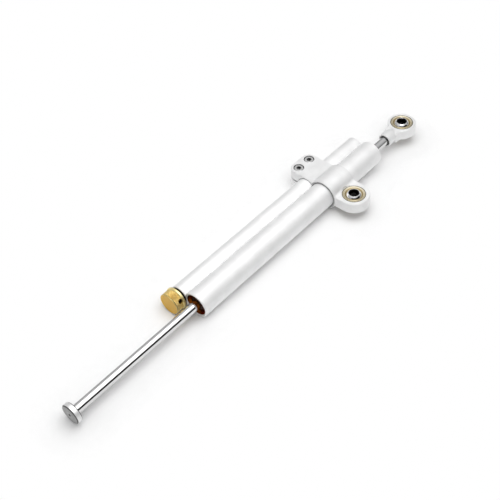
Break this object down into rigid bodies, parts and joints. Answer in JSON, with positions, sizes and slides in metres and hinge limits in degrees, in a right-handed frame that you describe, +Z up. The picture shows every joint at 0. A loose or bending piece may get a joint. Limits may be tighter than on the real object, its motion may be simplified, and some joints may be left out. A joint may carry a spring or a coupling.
{
  "type": "motorcycle steering damper",
  "caption": "Linear through-rod steering damper with twin-bore body, knurled adjuster knob, sliding split clamp with spherical bearing, rod end and round rod stop",
  "frame": {"origin": "centre of the clamp's spherical bearing", "axes": "+X along the damper towards the rod end, +Y from the clamp's bearing across to the barrels, +Z up along the bearing's bore"},
  "size_m": [0.4223, 0.0764, 0.028],
  "materials": {
    "satin_aluminium": "satin clear anodised",
    "gold_anodised": "gold anodised",
    "brown_anodised": "brown anodised",
    "hard_chrome": "mirror polished",
    "bearing_steel": "polished",
    "yellow_race": "yellow passivated",
    "screw_steel": "plated",
    "turned_aluminium": "as turned",
    "turned_steel": "as turned",
    "seal_rubber": "matt",
    "bush_bronze": "sintered",
    "slide_band": "matt"
  },
  "bodies": {
    "barrel": {"barrel_body": "satin_aluminium", "end_glands": "brown_anodised", "gland_orings": "seal_rubber", "rod_bushes": "bush_bronze", "rod_seals": "seal_rubber", "rod_wipers": "seal_rubber", "adjuster_cartridge": "turned_aluminium", "small_barrel_orings": "seal_rubber", "valve_seat": "turned_steel", "rear_plug": "satin_aluminium", "rear_plug_clip": "turned_steel", "fill_screw": "screw_steel"},
    "clamp": {"clamp_bracket": "satin_aluminium", "clamp_race": "yellow_race", "clamp_screws": "screw_steel"},
    "clamp_ball": {"clamp_ball": "bearing_steel"},
    "piston_band": {"piston_band": "slide_band"},
    "rod": {"piston_rod": "hard_chrome", "piston": "turned_aluminium", "piston_clips": "turned_steel", "stop_disc": "satin_aluminium", "stop_screw": "screw_steel", "rod_end": "satin_aluminium", "rod_end_race": "yellow_race"},
    "rod_end_ball": {"rod_end_ball": "bearing_steel"},
    "knob": {"adjuster_knob": "gold_anodised", "knob_grub_screw": "screw_steel", "detent_ball": "bearing_steel", "detent_spring": "turned_steel", "adjuster_spindle": "turned_steel", "spindle_oring": "seal_rubber", "spindle_clip": "turned_steel"},
    "needle": {"metering_needle": "turned_steel"},
    "compensator": {"compensator_piston": "turned_aluminium", "compensator_oring": "seal_rubber"}
  },
  "joints": [
    {"name": "clamp_slide", "type": "slide", "parent": "barrel", "child": "clamp", "axis": [1, 0, 0], "range_m": [-0.155, 0.04]},
    {"name": "clamp_ball_turn", "type": "hinge", "parent": "clamp", "child": "clamp_ball", "pos_m": [0, 0, 0], "axis": [0, 0, 1], "continuous": true},
    {"name": "rod_slide", "type": "slide", "parent": "barrel", "child": "piston_band", "axis": [1, 0, 0], "range_m": [-0.018, 0.112]},
    {"name": "rod_spin", "type": "hinge", "parent": "piston_band", "child": "rod", "pos_m": [0, 0.0235, 0], "axis": [1, 0, 0], "continuous": true},
    {"name": "rod_end_ball_turn", "type": "hinge", "parent": "rod", "child": "rod_end_ball", "pos_m": [0.1043, 0.0235, 0], "axis": [0, 0, 1], "continuous": true},
    {"name": "knob_turn", "type": "hinge", "parent": "barrel", "child": "knob", "pos_m": [-0.18, 0.0415, -0.0012], "axis": [1, 0, 0], "range_deg": [0, 300]},
    {"name": "needle_slide", "type": "slide", "parent": "knob", "child": "needle", "axis": [1, 0, 0], "range_m": [0, 0.00084]},
    {"name": "compensator_slide", "type": "slide", "parent": "barrel", "child": "compensator", "axis": [1, 0, 0], "range_m": [-0.003, 0.003]}
  ],
  "couplings": [
    {"joint": "needle_slide", "follows": "knob_turn", "m_per_rad": 0.00015915}
  ]
}
